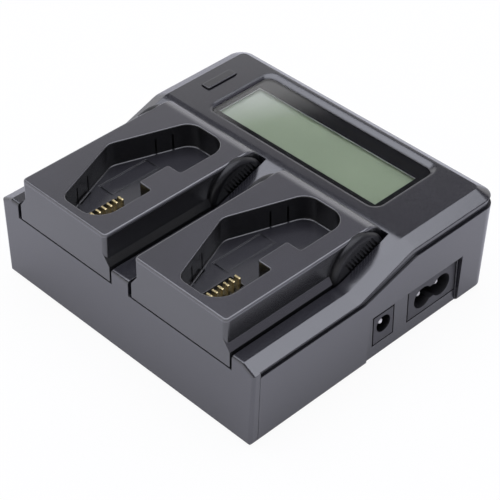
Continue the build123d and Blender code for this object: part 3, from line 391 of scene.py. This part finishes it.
def clear_acrylic(name):
    """Polished clear sheet with a faint smear and a little dust."""
    smear_mm, smear_detail = 30, 3.0
    clean, smeared = 0.005, 0.03
    dust_mm, dust_detail, dust_sharpness = 0.8, 4.0, 0.7
    dusty_colour, clean_colour = (0.97, 0.98, 0.97), (0.99, 1.0, 0.99)
    material, tree, shader = clear_material(name)
    smear = add_noise(tree, smear_mm, detail=smear_detail)
    dust = add_noise(tree, dust_mm, detail=dust_detail, sharpness=dust_sharpness)
    tint = blend_colours(tree, spread(tree, dust, 0, 1, 0.2, 0.8), dusty_colour, clean_colour)
    feed(tree, shader.inputs["Base Color"], tint)
    feed(tree, shader.inputs["Roughness"], spread(tree, smear, clean, smeared))
    shader.inputs["Transmission Weight"].default_value = 1.0
    shader.inputs["IOR"].default_value = plastic_ior
    return material


dress("display_window", clear_acrylic("clear_acrylic"))

# Push button: a long ABS cap that stands through a slot in the deck, with the key switch under it.
# Its top is a little smoother than the deck.
button_colour = (0.012, 0.012, 0.014)
button_abs = moulded_plastic(
    "button_abs", button_colour, 0.22, grain_mm=0.3, grain_depth_mm=0.001, sheen=1.0
)
dress("mode_button", button_abs)
dress("key_switch", socket_nylon)

# Battery plates: each is a grained ABS block with a smooth well for the battery, coloured with painted light
# and shade.
# The shell is closed by a screwed cover below and slides out of its pocket to the front.
# Plate colours with light and shade painted in: a lit top, shaded walls, a painted highlight under the top
# edge, a shaded well and painted shade in gaps.
lit_plate_top_colour = (0.0225, 0.021, 0.029)
shaded_plate_wall_colour = (0.010, 0.010, 0.011)
painted_rim_highlight_colour = (0.075, 0.074, 0.080)
well_floor_shade_colour = (0.018, 0.0175, 0.022)
well_wall_shade_colour = (0.002, 0.002, 0.002)
painted_shade_colour = (0.002, 0.002, 0.002)
black, white = (0, 0, 0), (1, 1, 1)


def plate_plastic(name, well_low_mm, well_high_mm):
    """Grained plastic with painted light and shade: a lighter top, darker walls, a painted highlight just
    under the top edge, and painted shade in the well inside a box and in gaps.
    """
    grain_mm, grain_depth_mm, edge_mm, gap_mm = 0.35, 0.003, 0.3, 1.2
    rim_start_mm, rim_end_mm = well_high_mm[2] - 1.2, well_high_mm[2] - 0.9
    mottle_share, speckle_share = 0.2, 0.01
    wall_roughness, level_roughness = 0.22, 0.27
    material, tree, shader = clear_material(name)
    shader.inputs["IOR"].default_value = plastic_ior
    shader.inputs["Specular IOR Level"].default_value = 1.0
    level = facing_up(tree)
    height = split(tree, own_place(tree))["Z"]
    cloud = add_noise(tree, cloud_mm, detail=cloud_detail)
    grain = add_noise(tree, grain_mm, sharpness=grain_sharpness)
    # Painted highlight: the walls turn paler in a band just under the top edge.
    rim = spread(tree, height, 0, 1, rim_start_mm * mm, rim_end_mm * mm)
    wall = blend_colours(tree, rim, shaded_plate_wall_colour, painted_rim_highlight_colour)
    # Painted light and shade: level faces get a lighter colour than the walls.
    outside = blend_colours(tree, level, wall, lit_plate_top_colour)
    mottled = blend_colours(tree, spread(tree, cloud, 0, mottle_share), outside, black)
    speckled = blend_colours(tree, spread(tree, grain, 0, speckle_share), mottled, white)
    # Painted shade: inside the well box the walls are painted near black and the floor dark.
    well = blend_colours(tree, level, well_wall_shade_colour, well_floor_shade_colour)
    with_painted_light = blend_colours(tree, inside_box(tree, well_low_mm, well_high_mm), speckled, well)
    # Painted shade: near black in gaps and inner corners.
    finish = blend_colours(tree, unshaded_share(tree, gap_mm), painted_shade_colour, with_painted_light)
    feed(tree, shader.inputs["Base Color"], finish)
    feed(tree, shader.inputs["Roughness"], blend_values(tree, level, wall_roughness, level_roughness))
    feed(tree, shader.inputs["Normal"], add_relief(tree, grain, grain_depth_mm, edge_mm))
    return material


contact_colour = (0.05, 0.047, 0.044)
# Painted shade: the narrow gaps round the contact blades are painted dark.
contact_nylon = moulded_plastic(
    "contact_nylon", contact_colour, 0.45, grain_depth_mm=0.004, gap_mm=1.5, gap_shut=0.3, gap_clear=0.9
)
well_left, well_right = 17.5, 15.0
well_front, well_rear = 3.0, 6.6
well_depth, well_rim = 12.0, 0.05
for side in ("left", "right"):
    plate_low, plate_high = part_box(f"{side}_plate_shell")
    middle = (plate_low.x + plate_high.x) / 2 / mm
    top = plate_high.z / mm
    well_low = (middle - well_left, plate_low.y / mm + well_front, top - well_depth)
    well_high = (middle + well_right, plate_high.y / mm - well_rear, top - well_rim)
    dress(f"{side}_plate_shell", plate_plastic(f"{side}_shell_abs", well_low, well_high))
    dress(f"{side}_plate_cover", case_abs)
    dress(f"{side}_contact_block", contact_nylon)

# Contacts: stamped spring blades in each well, the pads under each plate and the dock pins they meet.
# They are copper alloy with gold plating.
blades = 6
gold_plate = plated_metal("gold_plate", (0.95, 0.79, 0.43), 0.26)
for side in ("left", "right"):
    dress(f"{side}_plate_pads", gold_plate)
    dress(f"{side}_dock_pins", gold_plate)
    for number in range(1, blades + 1):
        dress(f"{side}_contact_{number}", gold_plate)

# Finger grips: grooved discs let into both sides of each plate, moulded in smooth black ABS.
# They give the fingers a hold when the plate is drawn out.
grip_colour = (0.005, 0.005, 0.006)
grip_abs = moulded_plastic(
    "grip_abs", grip_colour, 0.40, grain_mm=0.4, grain_depth_mm=0.002, edge_mm=0.2, sheen=0.35
)
for side in ("left", "right"):
    dress(f"{side}_plate_grip_left", grip_abs)
    dress(f"{side}_plate_grip_right", grip_abs)

# Table: a white paper sweep just under the feet, which keeps the object's soft shadow.
# The camera sees it almost white, and mirrored in the object it is a little brighter than lit paper.
bpy.context.scene.view_settings.view_transform = "Standard"
floor_half, floor_gap = 4.0, 0.05 * mm
floor_mesh = bpy.data.meshes.new("table_sweep")
floor_corners = [(x * floor_half, y * floor_half, 0) for x, y in ((-1, -1), (1, -1), (1, 1), (-1, 1))]
floor_mesh.from_pydata(floor_corners, [], [(0, 1, 2, 3)])
floor = bpy.data.objects.new("table_sweep", floor_mesh)
floor.location.z = cad_low.z - floor_gap
bpy.context.scene.collection.objects.link(floor)

paper_colour = (0.90, 0.89, 0.94)
seen_glow, mirrored_glow = 0.94, 0.15
sweep, sweep_tree, sweep_shader = clear_material("white_sweep")
sweep_tree.nodes.remove(sweep_shader)
paper = sweep_tree.nodes.new("ShaderNodeBsdfDiffuse")
feed(sweep_tree, paper.inputs["Color"], paper_colour)
glow = sweep_tree.nodes.new("ShaderNodeEmission")
feed(sweep_tree, glow.inputs["Color"], white)
glow.inputs["Strength"].default_value = 1.0
ray = sweep_tree.nodes.new("ShaderNodeLightPath").outputs
mirrored = calculate(sweep_tree, "MAXIMUM", ray["Is Glossy Ray"], ray["Is Transmission Ray"])
unseen_share = blend_values(sweep_tree, mirrored, 0, mirrored_glow)
glow_share = blend_values(sweep_tree, ray["Is Camera Ray"], unseen_share, seen_glow)
sweep_mix = sweep_tree.nodes.new("ShaderNodeMixShader")
feed(sweep_tree, sweep_mix.inputs["Fac"], glow_share)
feed(sweep_tree, sweep_mix.inputs[1], paper.outputs["BSDF"])
feed(sweep_tree, sweep_mix.inputs[2], glow.outputs["Emission"])
feed(sweep_tree, sweep_tree.nodes["Material Output"].inputs["Surface"], sweep_mix.outputs["Shader"])
floor.data.materials.append(sweep)

# Surround: white screens all round, highest at the far left and greyer at the far right.
# Above them is a dark room, which the deck and the polished window reflect.
screen_colour, far_right_colour = (0.98, 0.975, 1.0), (0.42, 0.41, 0.50)
room_colour = (0.06, 0.06, 0.07)
far_right = (0.843, 0.538, 0)
grey_start, grey_full = 0.6, 0.85
screen_top, far_left_rise, top_blur = 0.45, 0.742, 0.012
world = bpy.data.worlds.new("white_surround")
bpy.context.scene.world = world
world.use_nodes = True
world_tree = world.node_tree
direction = world_tree.nodes.new("ShaderNodeTexCoord").outputs["Generated"]
far_left_reach = reach_along(world_tree, direction, far_left)
far_left_top = calculate(world_tree, "MULTIPLY", far_left_reach, far_left_rise)
surround_top = calculate(world_tree, "MAXIMUM", far_left_top, screen_top)
above = calculate(world_tree, "SUBTRACT", split(world_tree, direction)["Z"], surround_top)
room = spread(world_tree, above, 0, 1, -top_blur, top_blur)
grey = spread(world_tree, reach_along(world_tree, direction, far_right), 0, 1, grey_start, grey_full)
screens = blend_colours(world_tree, grey, screen_colour, far_right_colour)
background = world_tree.nodes["Background"]
feed(world_tree, background.inputs["Color"], blend_colours(world_tree, room, screens, room_colour))
background.inputs["Strength"].default_value = 1.0

# Softbox: one broad level panel of cool light that faces down from above the object.
# It is turned so that its long side runs from the front left to the rear right.
lamp = bpy.data.lights.new("overhead_softbox", "AREA")
lamp.shape = "RECTANGLE"
lamp.size, lamp.size_y = 2.16, 1.44
lamp.energy = 23
lamp.color = (0.88, 0.90, 1.0)
softbox = bpy.data.objects.new("overhead_softbox", lamp)
softbox.location = (-0.085, 0.085, 1.2)
softbox.rotation_euler.z = math.radians(45)
bpy.context.scene.collection.objects.link(softbox)

# Camera: the photograph's long lens, from the front right and above.
# Its place is the aim point, a distance back from it, and a shift across the picture.
azimuth = math.radians(46.206)
elevation = math.radians(39.961)
roll = math.radians(-0.503)
distance = 0.588351
aim = Vector((0, 0.4 * mm, 23 * mm))
side_shift, rise = 0.688 * mm, -8.885 * mm
focal_pixels, picture_pixels = 1775.41, 500
level_reach = math.cos(elevation)
back = Vector((level_reach * math.sin(azimuth), -level_reach * math.cos(azimuth), math.sin(elevation)))
right = Vector((math.cos(azimuth), math.sin(azimuth), 0))
up = back.cross(right)
camera_right = math.cos(roll) * right + math.sin(roll) * up
camera_up = -math.sin(roll) * right + math.cos(roll) * up
camera_data = bpy.data.cameras.new("photo_camera")
camera_data.sensor_width = 36
camera_data.lens = focal_pixels / picture_pixels * camera_data.sensor_width
camera_data.clip_start = 0.01
camera = bpy.data.objects.new("photo_camera", camera_data)
axes = Matrix((camera_right, camera_up, back)).transposed().to_4x4()
axes.translation = aim + back * distance + camera_right * side_shift + camera_up * rise
camera.matrix_world = axes
bpy.context.scene.collection.objects.link(camera)
bpy.context.scene.camera = camera
